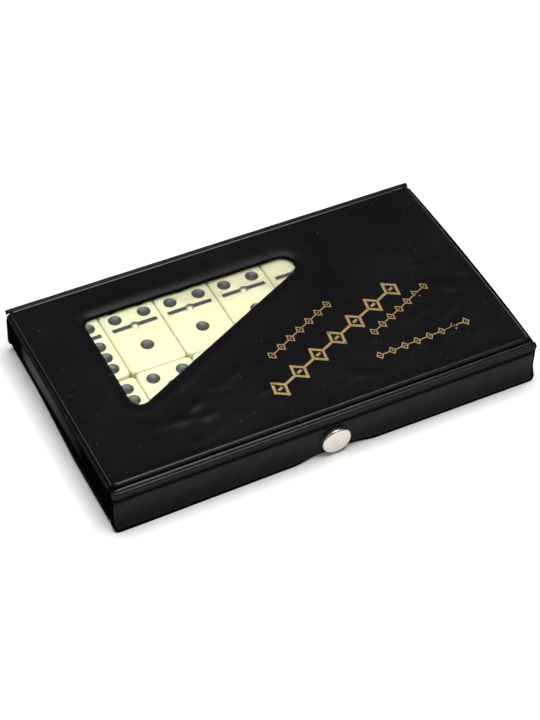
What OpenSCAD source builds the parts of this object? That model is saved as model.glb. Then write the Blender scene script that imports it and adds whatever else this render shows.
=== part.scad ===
// Snap-shut wallet case for a set of dominoes. A chipboard tray stands on the base panel. A welded
// vinyl cover goes round it as four panels: base, spine, lid and front flap. The lid has a clear
// triangular window, and one press snap closes the flap on the tray's front wall.
// X runs along the case, +Y to the spine, +Z up. The origin is under the centre of the case.

/* [Dominoes] */
// Length of a domino, along Y
tile_length = 47.6; // [44:0.1:52]
// Width of a domino, along X
tile_width = 23.8; // [21:0.1:26]
// Thickness of a domino
tile_thickness = 7.9; // [6:0.1:10]
// Corner radius of a domino seen from above
tile_corner = 2.4; // [1.6:0.1:3]
// Radius along the edges of a domino's faces
tile_edge = 1.1; // [0.3:0.1:1.4]
// Width of a pip where it meets the face
pip_width = 5.6; // [4:0.1:5.9]
// Depth of a pip
pip_depth = 0.7; // [0.3:0.1:1]
// Distance of the outer pips from the middle of the half, along X
pip_step_x = 6.3; // [5.8:0.1:6.8]
// Distance of the outer pips from the middle of the half, along Y
pip_step_y = 6.4; // [5.8:0.1:6.8]
// Length of the bar across the middle
bar_length = 19.2; // [16:0.1:20]
// Width of the bar
bar_width = 1.9; // [1:0.1:2.4]
// Depth of the bar
bar_depth = 0.3; // [0.2:0.1:0.6]
// Width of the spinner's head
spinner_head = 3.4; // [2.8:0.1:4]
// Width of the spinner's shank
spinner_shank = 1.8; // [1.2:0.1:2.2]
// Length of the spinner's shank below its head
spinner_depth = 3.6; // [2:0.1:5]
// Height of the spinner's head above the face
spinner_rise = 0.25; // [0.1:0.05:0.4]

/* [Tray] */
// Gap between dominoes side by side
column_gap = 0.35; // [0.2:0.05:0.8]
// Gap between the rear row and the front row
row_gap = 0.3; // [0.2:0.05:0.6]
// Free length left in the tray, along X
end_slack = 6.5; // [4:0.1:9]
// Gap between the last column and the tray's right end
column_play = 2.07; // [0.2:0.01:3]
// Free length left in the tray, along Y
row_slack = 1.4; // [1.3:0.1:3]
// How far the front left domino of the top layer has slid forward
slid_forward = 0.8; // [0:0.1:1]
// How far the front row of the top layer has slid to the right
slid_right = 0.7; // [0:0.1:1.5]
// Thickness of the boards in the tray's front and rear walls
wall_board = 0.6; // [0.5:0.1:1.2]
// Thickness of the boards in the tray's ends
end_board = 2.4; // [1.2:0.1:3.2]
// Thickness of the vinyl wrapped over the wall boards
wrap_skin = 0.2; // [0.15:0.05:0.4]
// Overhang of the lid and the base past the tray's ends
end_overhang = 1.6; // [1:0.1:4]

/* [Cover] */
// Thickness of the lid's and the base's board
panel_board = 1.6; // [1.2:0.1:2.4]
// Thickness of the flap's board
flap_board_thick = 1.2; // [0.8:0.1:1.8]
// Thickness of the spine's board
spine_board_thick = 0.8; // [0.6:0.1:1.4]
// Thickness of one vinyl skin
skin = 0.3; // [0.2:0.05:0.4]
// Width of the welded border at the ends of the lid
weld = 1.6; // [1:0.1:3]
// Corner radius of the boards
board_corner = 2.4; // [2:0.1:5]
// Radius of the vinyl over a board's edge
puff = 1.0; // [0.6:0.05:1.1]
// Gap below the lid's inner skin, above the dominoes
lid_gap = 0.4; // [0.35:0.05:1]
// Width of the bend between the base and the spine, and between the spine and the lid
rear_bend = 1.6; // [1.5:0.1:2]
// Width of the sunk weld between the lid and the flap
front_weld = 1; // [0.9:0.1:1.6]
// Height of the padded roll at the top of the flap
roll_height = 5.2; // [4:0.1:6]
// Radius of the padded roll's outer face
roll_radius = 4.6; // [4:0.1:6]
// Thickness of the padded roll
roll_thick = 1.2; // [0.8:0.1:1.6]
// Gap between the flap's lower edge and the table
flap_lift = 0.4; // [0.3:0.1:1]

/* [Window] */
// Distance of the window's left edge from the lid's left end
window_from_left = 25.5; // [15:0.5:35]
// Distance of the window's rear edge from the back of the case
window_from_rear = 17.1; // [14:0.1:24]
// Length of the window's rear edge, to its sharp corner
window_length = 112; // [80:0.1:116]
// Length of the window's left edge, to its sharp corner
window_depth = 54; // [40:0.1:58]
// Radius of the window's two left corners
window_corner = 4.7; // [3:0.1:6]
// Radius of the window's right corner
window_tip = 5.7; // [3:0.1:7]
// Radius of the rolled rim round the window
rim_radius = 0.8; // [0.6:0.05:0.9]
// Thickness of the clear film
film_thick = 0.2; // [0.15:0.05:0.3]
// Border of the film that is welded under the window's rim
film_border = 6; // [4:0.5:9]

/* [Snap] */
// Distance of the snap from the middle of the case, along X
snap_offset = 2; // [-20:1:20]
// Height of the snap above the table
snap_height = 7.2; // [6.8:0.1:8]
// Gap between the flap and the tray's front wall
snap_gap = 2.8; // [2.8:0.1:3.4]
// Width of the cap
cap_width = 12.4; // [10:0.1:12.6]
// Thickness of the cap in front of the flap
cap_thick = 2; // [1.4:0.1:2.4]
// Width of the socket's flange on the inside of the flap
socket_width = 9.6; // [8:0.1:10]
// Height of the socket's collar above the flap's inner face
collar_height = 0.7; // [0.6:0.05:0.8]
// Width of the stud's head
stud_head = 3.5; // [3.2:0.1:3.8]
// Width of the stud's flange on the tray's wall
stud_flange = 8; // [6:0.1:9]
// Free distance between the stud's tip and the socket before the snap is pressed home
snap_free = 0.35; // [0.3:0.05:0.5]

/* [Hidden] */
$fn = 48;
cut = 1;

column_count = 7;
seat_gap = 0.1;
layer_play = 0.05;
wall_play = 0.1;
row_play = 0.25;
fit_play = 0.05;
film_play = 0.2;
weld_pair = 2 * skin;
rim_inset = 0.3;
base_lip = 0.5;
board_play = puff - skin;

// Heights
panel = panel_board + 2 * skin;
tile_z1 = panel + seat_gap;
tile_z2 = tile_z1 + tile_thickness + spinner_rise + layer_play;
tray_top = tile_z2 + tile_thickness;
lid_z = tray_top + lid_gap;
case_height = lid_z + panel;

// Places along X
wall = wall_board + 2 * wrap_skin;
column_pitch = tile_width + column_gap;
tray_length = column_count * column_pitch - column_gap + end_slack;
tray_x = tray_length / 2 + end_board + 2 * wrap_skin;
case_length = 2 * (tray_x + end_overhang);
panel_x = case_length / 2 - weld;
tile_x0 = tray_length / 2 - column_play - tile_width / 2 - (column_count - 1) * column_pitch;

// Places along Y
flap = flap_board_thick + 2 * skin;
spine = spine_board_thick + 2 * skin;
tray_depth = 2 * tile_length + row_gap + row_slack;
case_depth = spine + wall_play + tray_depth + 2 * wall + snap_gap + flap;
rear = case_depth / 2;
front = -case_depth / 2;
spine_y = rear - spine;
tray_rear = spine_y - wall_play;
tray_front = tray_rear - tray_depth - 2 * wall;
flap_y = front + flap;
rear_row_y = tray_rear - wall - row_play - tile_length / 2;
front_row_y = rear_row_y - tile_length - row_gap;

// The cover's panels. The roll stands out past the flap and reaches back to the sunk weld.
roll_stand = 0.4;
roll_reach = 1.1;
roll_drop = 3.8;
weld_lip = 0.4;
base_front = tray_front - base_lip;
bend_y = rear - rear_bend;
roll_y = front + roll_radius - roll_stand;
roll_z = case_height - roll_drop;
roll_back = front + roll_reach;
lid_front = roll_back + front_weld;
flange_front = lid_front - weld_lip;
flap_top = roll_z - roll_height / 2;
panel_y = (bend_y + lid_front) / 2;
lid_depth = bend_y - lid_front;
base_y = (bend_y + tray_front) / 2;
base_depth = bend_y - tray_front;
flap_edge = 1.3;

// The snap, measured outwards from the face that carries each piece
stud_height = snap_gap - collar_height - snap_free;
stud_neck = stud_head - 0.7;
spring_wire = 0.5;
collar_bore = stud_head + 0.8;
cup_width = collar_bore + 1.1;
cup_depth = flap / 2;
cup_floor = 0.2;
post_width = stud_head + 0.4;
post_wall = 0.4;

// Dominoes from left to right, as [higher half, lower half]. The higher half is at the rear.
top_rear = [[6, 6], [6, 1], [5, 1], [4, 1], [3, 1], [2, 1], [1, 1]];
top_front = [[6, 0], [5, 0], [4, 0], [3, 0], [2, 0], [1, 0], [0, 0]];
low_rear = [[6, 5], [6, 4], [6, 3], [6, 2], [5, 5], [5, 4], [5, 3]];
low_front = [[5, 2], [4, 4], [4, 3], [4, 2], [3, 3], [3, 2], [2, 2]];

// Each domino's pips and its place. The first of the row stands forward, and the row has slid along.
function row_places(row, y, z, forward, along) = [
    for (i = [0 : column_count - 1])
        [row[i], [tile_x0 + along + i * column_pitch, i == 0 ? y - forward : y, z]]
];

tiles = concat(
    row_places(top_rear, rear_row_y, tile_z2, 0, 0),
    row_places(top_front, front_row_y, tile_z2, slid_forward, slid_right),
    row_places(low_rear, rear_row_y, tile_z1, 0, 0),
    row_places(low_front, front_row_y, tile_z1, 0, 0)
);

function tile_name(pips) = str("tile_", pips[0], "_", pips[1]);

// Shapes that the pieces share

module rounded_rect(w, d, r) {
    square([w - 2 * r, d], center = true);
    square([w, d - 2 * r], center = true);
    for (x = [-1, 1], y = [-1, 1])
        translate([x * (w / 2 - r), y * (d / 2 - r)]) circle(r);
}

module plate(w, d, h, r) {
    linear_extrude(h) rounded_rect(w, d, r);
}

// A quarter disc from the x axis to the y axis
module quarter(r) {
    intersection() {
        circle(r);
        square(r);
    }
}

// Section that stands on the x axis, with its upper edges rounded by e and its lower edges by f
module soft_section(w, h, e, f) {
    translate([-w / 2, f]) square([w, h - e - f]);
    translate([-w / 2 + e, f]) square([w - 2 * e, h - f]);
    translate([-w / 2 + f, 0]) square([w - 2 * f, h - e]);
    for (side = [0, 1]) mirror([side, 0]) {
        translate([w / 2 - e, h - e]) quarter(e);
        if (f > 0) translate([w / 2 - f, f]) mirror([0, 1]) quarter(f);
    }
}

// Half of the same section, to be turned about the y axis for a corner
module soft_corner(r, h, e, f) {
    translate([0, f]) square([r, h - e - f]);
    translate([0, f]) square([r - e, h - f]);
    square([r - f, h - e]);
    translate([r - e, h - e]) quarter(e);
    if (f > 0) translate([r - f, f]) mirror([0, 1]) quarter(f);
}

// Plate with round corners, whose upper and lower edges are rounded all the way round
module soft_plate(w, d, h, r, e, f) {
    rotate([90, 0, 0]) linear_extrude(d - 2 * r, center = true) soft_section(w, h, e, f);
    rotate([90, 0, 90]) linear_extrude(w - 2 * r, center = true) soft_section(d, h, e, f);
    for (x = [-1, 1], y = [-1, 1])
        translate([x * (w / 2 - r), y * (d / 2 - r), 0])
            rotate_extrude() soft_corner(r, h, e, f);
}

module domed_plate(w, d, h, r, e) {
    soft_plate(w, d, h, r, e, 0);
}

// Lays a flat panel, outer face up, on the front of the case: its y becomes height
module on_front(y) {
    translate([0, y, 0]) rotate([90, 0, 0]) children();
}

// Lays a flat panel, outer face up, on the back of the case: its y becomes depth below the table
module on_rear(y) {
    translate([0, y, 0]) rotate([-90, 0, 0]) children();
}

// Turns a piece that stands on the xy plane so that it points out of the front at the snap
module at_snap(y) {
    translate([snap_offset, y, snap_height]) rotate([90, 0, 0]) children();
}

module bore_at_snap(d) {
    at_snap(tray_front + wall + cut) cylinder(d = d, h = case_depth);
}

// Dominoes

pip_sphere = (pow(pip_width / 2, 2) + pow(pip_depth, 2)) / (2 * pip_depth);

// Pips of one half, as steps from its middle
function pip_places(n) = concat(
    n % 2 == 1 ? [[0, 0]] : [],
    n >= 2 ? [[-1, 1], [1, -1]] : [],
    n >= 4 ? [[1, 1], [-1, -1]] : [],
    n == 6 ? [[-1, 0], [1, 0]] : []
);

module half_pips(n) {
    for (p = pip_places(n))
        translate([p[0] * pip_step_x, p[1] * pip_step_y, tile_thickness + pip_sphere - pip_depth])
            sphere(pip_sphere);
}

module tile(pips) {
    half = tile_length / 4;
    color("ivory") difference() {
        soft_plate(tile_width, tile_length, tile_thickness, tile_corner, tile_edge, tile_edge);
        translate([0, half, 0]) half_pips(pips[0]);
        translate([0, -half, 0]) half_pips(pips[1]);
        translate([-bar_length / 2, -bar_width / 2, tile_thickness - bar_depth])
            cube([bar_length, bar_width, bar_depth + cut]);
        translate([0, 0, tile_thickness - bar_depth])
            cylinder(d = spinner_head + 2 * fit_play, h = bar_depth + cut);
        translate([0, 0, tile_thickness - bar_depth - spinner_depth - fit_play])
            cylinder(d = spinner_shank + 2 * fit_play, h = spinner_depth + bar_depth + cut);
    }
}

// Brass pin with a domed head that sits in the round recess of the bar
module spinner() {
    rise = bar_depth + spinner_rise;
    dome = (pow(spinner_head / 2, 2) + pow(rise, 2)) / (2 * rise);
    color("goldenrod") {
        translate([0, 0, -spinner_depth]) cylinder(d = spinner_shank, h = spinner_depth + rise / 2);
        intersection() {
            cylinder(d = spinner_head, h = rise + cut);
            translate([0, 0, rise - dome]) sphere(dome);
        }
    }
}

module spinner_pins() {
    for (t = tiles)
        translate(t[1] + [0, 0, tile_thickness - bar_depth]) spinner();
}

// Base panel

module base_outer_skin() {
    rim_z = panel - weld_pair;
    color("#1c1c1d") difference() {
        union() {
            translate([0, (bend_y + base_front) / 2, rim_z])
                plate(case_length - 2 * rim_inset, bend_y - base_front, skin, board_corner / 2);
            translate([0, base_y, rim_z + skin]) mirror([0, 0, 1])
                domed_plate(2 * panel_x, base_depth, rim_z + skin, board_corner, puff);
        }
        translate([0, base_y, rim_z + skin + cut]) mirror([0, 0, 1])
            domed_plate(2 * (panel_x - skin), base_depth - 2 * skin,
                        panel_board + cut, board_corner - skin, puff - skin);
    }
}

module base_board() {
    color("tan") translate([0, base_y, skin])
        plate(2 * (panel_x - skin - board_play), base_depth - 2 * (skin + board_play),
              panel_board, board_corner - skin);
}

module base_liner() {
    color("#242425") translate([0, (bend_y + base_front) / 2, panel - skin])
        plate(case_length - 2 * rim_inset, bend_y - base_front, skin, board_corner / 2);
}

// Tray

module wall_plate(w, height) {
    translate([-w / 2, 0, panel]) cube([w, wall_board, height]);
}

wall_height = tray_top - wrap_skin - panel;
end_board_length = tray_depth + 2 * wrap_skin;

module tray_front_board() {
    color("tan") difference() {
        translate([0, tray_front + wrap_skin, 0]) wall_plate(2 * (tray_x - wrap_skin), wall_height);
        bore_at_snap(stud_neck + 2 * fit_play);
        at_snap(tray_front + wall - wrap_skin + cut)
            cylinder(d = stud_flange + 2 * fit_play, h = cut + wall_board / 2);
    }
}

module tray_rear_board() {
    color("tan") translate([0, tray_rear - wrap_skin - wall_board, 0])
        wall_plate(2 * (tray_x - wrap_skin), wall_height);
}

// The end boards stand between the front board and the rear board
module tray_end_board() {
    translate([tray_length / 2 + wrap_skin, (tray_front + tray_rear) / 2 - end_board_length / 2, panel])
        cube([end_board, end_board_length, wall_height]);
}

module tray_left_board() {
    color("tan") mirror([1, 0, 0]) tray_end_board();
}

module tray_right_board() {
    color("tan") tray_end_board();
}

// Vinyl on both sides of the wall boards and over their upper edges
module tray_wrap() {
    mid_y = (tray_front + tray_rear) / 2;
    outer_depth = tray_rear - tray_front;
    color("#202021") difference() {
        translate([0, mid_y, panel]) plate(2 * tray_x, outer_depth, tray_top - panel, 2 * wrap_skin);
        translate([0, mid_y, panel - cut])
            linear_extrude(case_height) square([tray_length, tray_depth], center = true);
        translate([0, mid_y, panel - cut]) linear_extrude(wall_height + cut) difference() {
            square([2 * (tray_x - wrap_skin), outer_depth - 2 * wrap_skin], center = true);
            square([tray_length + 2 * wrap_skin, tray_depth + 2 * wrap_skin], center = true);
        }
        at_snap(tray_front + wrap_skin + fit_play)
            cylinder(d = stud_neck + 2 * fit_play, h = wrap_skin + cut);
    }
}

// Snap on the tray's front wall

// Stud with a mushroom head, whose neck passes through the wall
module snap_stud() {
    dome = 0.4;
    taper = 0.35;
    head_z = stud_height - dome;
    dome_sphere = (pow(stud_head / 2, 2) + pow(dome, 2)) / (2 * dome);
    root = wall - wrap_skin - wall_board / 2 + fit_play;
    color("silver") at_snap(tray_front) {
        cylinder(d = stud_flange, h = skin);
        translate([0, 0, -root]) cylinder(d = stud_neck, h = root + head_z);
        translate([0, 0, head_z - taper]) cylinder(d1 = stud_neck, d2 = stud_head, h = taper);
        intersection() {
            translate([0, 0, head_z]) cylinder(d = stud_head, h = dome + cut);
            translate([0, 0, stud_height - dome_sphere]) sphere(dome_sphere);
        }
    }
}

// Washer that holds the stud from behind, sunk in the board under the wrap
module snap_eyelet() {
    color("silver") at_snap(tray_front + wall - wrap_skin)
        cylinder(d = stud_flange, h = wall_board / 2 - fit_play);
}

// Bends of welded vinyl along the back

module quarter_bend() {
    difference() {
        circle(rear_bend);
        circle(rear_bend - weld_pair);
    }
}

module bend_strip(length) {
    rotate([90, 0, 90]) linear_extrude(length, center = true) intersection() {
        quarter_bend();
        square(rear_bend);
    }
}

module rear_bottom_bend() {
    color("#19191a") translate([0, bend_y, rear_bend]) mirror([0, 0, 1])
        bend_strip(case_length - 2 * weld);
}

module rear_top_bend() {
    color("#19191a") translate([0, bend_y, case_height - rear_bend])
        bend_strip(case_length - 2 * weld);
}

// Spine panel

spine_low = rear_bend;
spine_high = case_height - rear_bend;
spine_height = spine_high - spine_low;
spine_inset = 0.9;
spine_puff = 0.8 * puff;
spine_play = spine_puff - skin;

module spine_outer_skin() {
    mid = -(spine_low + spine_high) / 2;
    color("#1c1c1d") on_rear(spine_y) difference() {
        union() {
            translate([0, mid, skin]) plate(case_length - 2 * rim_inset, spine_height, skin, board_corner / 4);
            translate([0, mid, skin])
                domed_plate(2 * panel_x, spine_height - spine_inset, spine - skin, board_corner, spine_puff);
        }
        translate([0, mid, skin - cut])
            domed_plate(2 * (panel_x - skin), spine_height - spine_inset - 2 * skin,
                        spine_board_thick + cut, board_corner - skin, spine_play);
    }
}

module spine_board() {
    mid = -(spine_low + spine_high) / 2;
    color("tan") on_rear(spine_y) translate([0, mid, skin])
        plate(2 * (panel_x - skin - spine_play), spine_height - spine_inset - 2 * (skin + spine_play),
              spine_board_thick, board_corner - skin);
}

module spine_liner() {
    mid = -(spine_low + spine_high) / 2;
    color("#242425") on_rear(spine_y) translate([0, mid, 0])
        plate(case_length - 2 * rim_inset, spine_height, skin, board_corner / 4);
}

// Window outline: three round corners joined by their outer tangents

window_x = -case_length / 2 + window_from_left;
window_y = rear - window_from_rear;
window_angle = atan2(window_depth, window_length);
tip_reach = window_tip / tan(window_angle / 2);
front_reach = window_corner / tan((90 - window_angle) / 2);

// Each corner's arc: its centre, its radius and the angles from which and to which the outline runs
window_arcs = [
    [[window_x + window_corner, window_y - window_corner], window_corner, 90, 180],
    [[window_x + window_corner, window_y - window_depth + front_reach], window_corner, 180, 270 + window_angle],
    [[window_x + window_length - tip_reach, window_y - window_tip], window_tip, 270 + window_angle, 450]
];

arc_steps = 14;
rim_sides = 12;

function arc_angle(arc, i) = arc[2] + (arc[3] - arc[2]) * i / arc_steps;

// Point of the outline grown by g, at angle a of one corner's arc
function arc_point(arc, a, g) = arc[0] + (arc[1] + g) * [cos(a), sin(a)];

// The outline, grown by g
module window_shape(g) {
    polygon([
        for (arc = window_arcs, i = [0 : arc_steps])
            arc_point(arc, arc_angle(arc, i), g)
    ]);
}

// Rolled rim round the window: a round bead swept along the outline
module window_rim() {
    points = [
        for (arc = window_arcs, i = [0 : arc_steps], side = [0 : rim_sides - 1])
            let (
                b = 360 * side / rim_sides,
                p = arc_point(arc, arc_angle(arc, i), rim_radius + rim_radius * cos(b))
            ) [p[0], p[1], rim_radius * sin(b)]
    ];
    count = len(points);
    faces = [
        for (i = [0 : count - 1])
            let (
                ring = floor(i / rim_sides) * rim_sides,
                next = ring + (i - ring + 1) % rim_sides,
                ahead = (i + rim_sides) % count,
                both = (next + rim_sides) % count
            ) each [[i, next, ahead], [next, both, ahead]]
    ];
    polyhedron(points, faces);
}

// Lid panel

module lid_outer_skin() {
    bead_sink = 0.05;
    bead_z = case_height - rim_radius - bead_sink;
    collar = rim_radius - skin / 2;
    color("#1c1c1d") {
        difference() {
            union() {
                translate([0, (bend_y + flange_front) / 2, lid_z + skin])
                    plate(case_length, bend_y - flange_front, skin, board_corner / 2);
                translate([0, panel_y, lid_z + skin])
                    domed_plate(2 * panel_x, lid_depth, panel - skin, board_corner, puff);
            }
            difference() {
                translate([0, panel_y, lid_z + skin - cut])
                    domed_plate(2 * (panel_x - skin), lid_depth - 2 * skin,
                                panel_board + cut, board_corner - skin, puff - skin);
                translate([0, 0, lid_z + skin + film_thick]) linear_extrude(panel)
                    window_shape(collar + skin);
            }
            translate([0, 0, lid_z]) linear_extrude(panel + cut) window_shape(collar);
            translate([0, 0, bead_z]) linear_extrude(panel) window_shape(rim_radius);
        }
        translate([0, 0, bead_z]) window_rim();
    }
}

module lid_board() {
    color("tan") difference() {
        translate([0, panel_y, lid_z + skin])
            plate(2 * (panel_x - skin - board_play), lid_depth - 2 * (skin + board_play),
                  panel_board, board_corner - skin);
        translate([0, 0, lid_z]) linear_extrude(panel + cut)
            window_shape(2 * rim_radius + film_play);
        translate([0, 0, lid_z]) linear_extrude(skin + film_thick)
            window_shape(film_border + film_play);
    }
}

module lid_liner() {
    color("#242425") difference() {
        translate([0, (bend_y + flange_front) / 2, lid_z])
            plate(case_length, bend_y - flange_front, skin, board_corner / 2);
        translate([0, 0, lid_z - cut]) linear_extrude(panel) window_shape(film_play);
    }
}

module window_film() {
    color([0.9, 0.95, 1, 0.3]) translate([0, 0, lid_z + skin])
        linear_extrude(film_thick) window_shape(film_border);
}

// Front flap

// Thin welded strip, sunk between the lid and the roll, that the flap folds on
module front_weld_strip() {
    color("#101011") translate([-panel_x, roll_back, lid_z + skin])
        cube([2 * panel_x, flange_front - roll_back, weld_pair]);
}

// Padded roll along the top of the flap: part of a thick tube, cut flat at the weld and at the flap
module flap_roll() {
    color("#2a2a2b") translate([0, roll_y, roll_z])
        rotate([90, 0, 90]) linear_extrude(case_length - 2 * rim_inset, center = true) intersection() {
            difference() {
                circle(roll_radius);
                circle(roll_radius - roll_thick);
            }
            translate([-roll_radius - cut, -roll_height / 2])
                square([roll_back - roll_y + roll_radius + cut, roll_radius + roll_height]);
        }
}

// Outline of the flap's skins: square below the roll, with round lower corners
module flap_outline(height) {
    rounded_rect(case_length, height, board_corner);
    translate([-case_length / 2, 0]) square([case_length, height / 2]);
}

module flap_outer_skin() {
    mid = (flap_lift + flap_top) / 2;
    height = flap_top - flap_lift;
    color("#1c1c1d") on_front(flap_y) difference() {
        union() {
            translate([0, mid, skin]) linear_extrude(skin) flap_outline(height);
            translate([0, mid, skin])
                domed_plate(2 * panel_x, height - 2 * flap_edge, flap - skin, board_corner, puff);
        }
        translate([0, mid, skin - cut])
            domed_plate(2 * (panel_x - skin), height - 2 * flap_edge - 2 * skin,
                        flap_board_thick + cut, board_corner - skin, puff - skin);
        translate([snap_offset, snap_height, -cut]) cylinder(d = post_width + 2 * fit_play, h = flap + 2 * cut);
    }
}

module flap_board() {
    mid = (flap_lift + flap_top) / 2;
    height = flap_top - flap_lift - 2 * (flap_edge + skin + board_play);
    color("tan") on_front(flap_y) difference() {
        translate([0, mid, skin])
            plate(2 * (panel_x - skin - board_play), height, flap_board_thick, board_corner - skin);
        translate([snap_offset, snap_height, 0])
            cylinder(d = cup_width + 2 * fit_play, h = flap);
    }
}

module flap_liner() {
    mid = (flap_lift + flap_top) / 2;
    color("#242425") on_front(flap_y) difference() {
        translate([0, mid, 0]) linear_extrude(skin) flap_outline(flap_top - flap_lift);
        translate([snap_offset, snap_height, -cut])
            cylinder(d = cup_width + 2 * fit_play, h = flap);
    }
}

// Cap with a flat face and a rounded, turned-in rim, riveted through the flap by a hollow post
module snap_cap() {
    lip = 0.9;
    post = flap - cup_depth;
    color("#dcd3c8") at_snap(front) {
        rotate_extrude() soft_corner(cap_width / 2, cap_thick, lip, 0);
        translate([0, 0, -post]) difference() {
            cylinder(d = post_width, h = post + cap_thick / 2);
            translate([0, 0, -cut]) cylinder(d = post_width - 2 * post_wall, h = post + cut);
        }
    }
}

// Cup that the post is riveted to, with a collar that takes the stud's head
module snap_socket() {
    rivet_hole = post_width - 2 * post_wall - 2 * cup_floor;
    color("#c9c4bc") at_snap(flap_y) difference() {
        union() {
            translate([0, 0, -skin]) cylinder(d = socket_width, h = skin);
            translate([0, 0, -collar_height]) cylinder(d = cup_width, h = collar_height + cup_depth);
        }
        translate([0, 0, -collar_height - cut])
            cylinder(d = collar_bore, h = collar_height + cut + cup_depth - cup_floor);
        cylinder(d = rivet_hole, h = flap);
    }
}

// Split spring ring that closes behind the stud's head
module snap_spring() {
    ring = collar_bore / 2 - fit_play - spring_wire / 2;
    color("silver") at_snap(flap_y) translate([0, 0, -collar_height + spring_wire / 2])
        rotate([0, 0, 20]) rotate_extrude(angle = 320)
            translate([ring, 0]) circle(spring_wire / 2, $fn = 24);
}

base_outer_skin();
base_board();
base_liner();
tray_front_board();
tray_rear_board();
tray_left_board();
tray_right_board();
tray_wrap();
snap_stud();
snap_eyelet();
spinner_pins();
rear_bottom_bend();
spine_outer_skin();
spine_board();
spine_liner();
rear_top_bend();
lid_outer_skin();
lid_board();
lid_liner();
window_film();
front_weld_strip();
flap_roll();
flap_outer_skin();
flap_board();
flap_liner();
snap_cap();
snap_socket();
snap_spring();
for (t = tiles)
    translate(t[1]) tile(t[0]);
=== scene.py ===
"""Snap-shut vinyl wallet case with 28 dominoes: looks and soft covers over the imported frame."""

import math

import bpy
import numpy as np
from mathutils import Matrix, Vector, noise
from mathutils.geometry import delaunay_2d_cdt


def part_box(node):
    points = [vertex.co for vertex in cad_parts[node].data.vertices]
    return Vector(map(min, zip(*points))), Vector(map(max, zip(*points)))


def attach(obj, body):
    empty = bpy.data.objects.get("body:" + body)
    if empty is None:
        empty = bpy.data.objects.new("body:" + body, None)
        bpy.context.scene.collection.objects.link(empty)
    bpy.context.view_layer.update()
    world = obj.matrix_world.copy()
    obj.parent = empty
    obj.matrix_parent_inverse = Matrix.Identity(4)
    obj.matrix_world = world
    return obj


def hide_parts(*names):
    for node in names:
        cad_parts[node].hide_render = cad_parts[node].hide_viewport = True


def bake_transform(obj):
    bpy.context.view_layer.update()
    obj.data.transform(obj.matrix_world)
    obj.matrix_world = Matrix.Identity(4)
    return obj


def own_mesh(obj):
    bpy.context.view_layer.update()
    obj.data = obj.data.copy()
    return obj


MM = 0.001

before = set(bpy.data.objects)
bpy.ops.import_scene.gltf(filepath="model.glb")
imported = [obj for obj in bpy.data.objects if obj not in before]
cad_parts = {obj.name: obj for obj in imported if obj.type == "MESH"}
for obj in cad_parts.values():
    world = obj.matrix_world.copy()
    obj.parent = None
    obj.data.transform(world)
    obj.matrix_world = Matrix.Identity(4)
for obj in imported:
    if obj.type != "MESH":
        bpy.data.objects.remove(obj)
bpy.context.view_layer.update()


# Sizes, in millimetres


def box(node):
    """Low and high corner of a CAD node."""
    low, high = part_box(node)
    return np.array(low) / MM, np.array(high) / MM


LID_LOW, LID_HIGH = box("lid_outer_skin")
LID_FLOOR = box("lid_liner")[0][2]
BASE_LOW, BASE_HIGH = box("base_outer_skin")
BASE_CEILING = box("base_liner")[1][2]
SPINE_LOW, SPINE_HIGH = box("spine_outer_skin")
SPINE_INSIDE = box("spine_liner")[0][1]
FLAP_LOW, FLAP_HIGH = box("flap_outer_skin")
FLAP_INSIDE = box("flap_liner")[1][1]
ROLL_LOW, ROLL_HIGH = box("flap_roll")
STRIP_LOW, STRIP_HIGH = box("front_weld_strip")
TOP_BEND_LOW, TOP_BEND_HIGH = box("rear_top_bend")
LOW_BEND_LOW, LOW_BEND_HIGH = box("rear_bottom_bend")
TRAY_LOW, TRAY_HIGH = box("tray_wrap")
FILM_LOW, FILM_HIGH = box("window_film")
CAP_LOW, CAP_HIGH = box("snap_cap")

SKIN = 0.3
WELD = 1.6  # welded border at the panels' ends
PUFF = 1.2  # width of a padded panel's soft edge
BOARD_CORNER = 2.4
LID_LIP = 0.4
LID_SWELL = 0.3  # how far the padded lid swells past its flat skin
WELD_LINE = 0.9  # the lid's weld line, in from the rear edge and from the panel's ends
TRAY_WALLS = (2.8, 1.0)  # end walls and long walls, with their wrap
TRAY_EDGE = 0.35  # radius of the wrap's upper edges
PANEL_X = (LID_HIGH[0] - LID_LOW[0]) / 2 - WELD
CASE_TOP = LID_HIGH[2]

FILM_BORDER = 6.0
WINDOW_LENGTH = 112.0
WINDOW_DEPTH = 54.0
WINDOW_CORNER = 4.7
WINDOW_TIP = 5.7
WINDOW_SINK = 0.9
WINDOW_RIM = 0.45  # radius of the skin's turned edge
FILM_UNDER_RIM = 5.8

SNAP_HOLE = 3.0
SNAP_FLAT = 6.0  # what the cap presses flat round the hole
FLAP_INSET = (0.8, 1.3)  # the flap's welded border, at its ends and along its foot
FLAP_TUCK = 1.1  # how far the flap's panel runs up behind the roll
FLAP_SKIN_MIN = 0.12
BEAD_HEIGHT = 5.35  # where the roll's full bead turns under
ROLL_MIDDLE = (0.9, 4.0)  # where the roll's section swells from
ROLL_FULL = (1.3, 5.5)  # the swelling starts at this height and goes this far up
BASE_DRAW_IN = 1.9
BASE_BORDER = (89.6, 2.1)  # where the border that draws in starts, and its width
TOP_EAR = 1.2  # the upper bend runs past the case's ends
LOW_SHORT = 1.6  # the lower bend stops short of them

SPINE_WELD = 0.45
STRIP_LAP = 0.25  # the weld strip's cover goes under both neighbours

GRAIN = 1900  # cells to the metre of the vinyl's pebble grain
DUST = (0.10, 0.10, 0.095)


# Meshes


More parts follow.
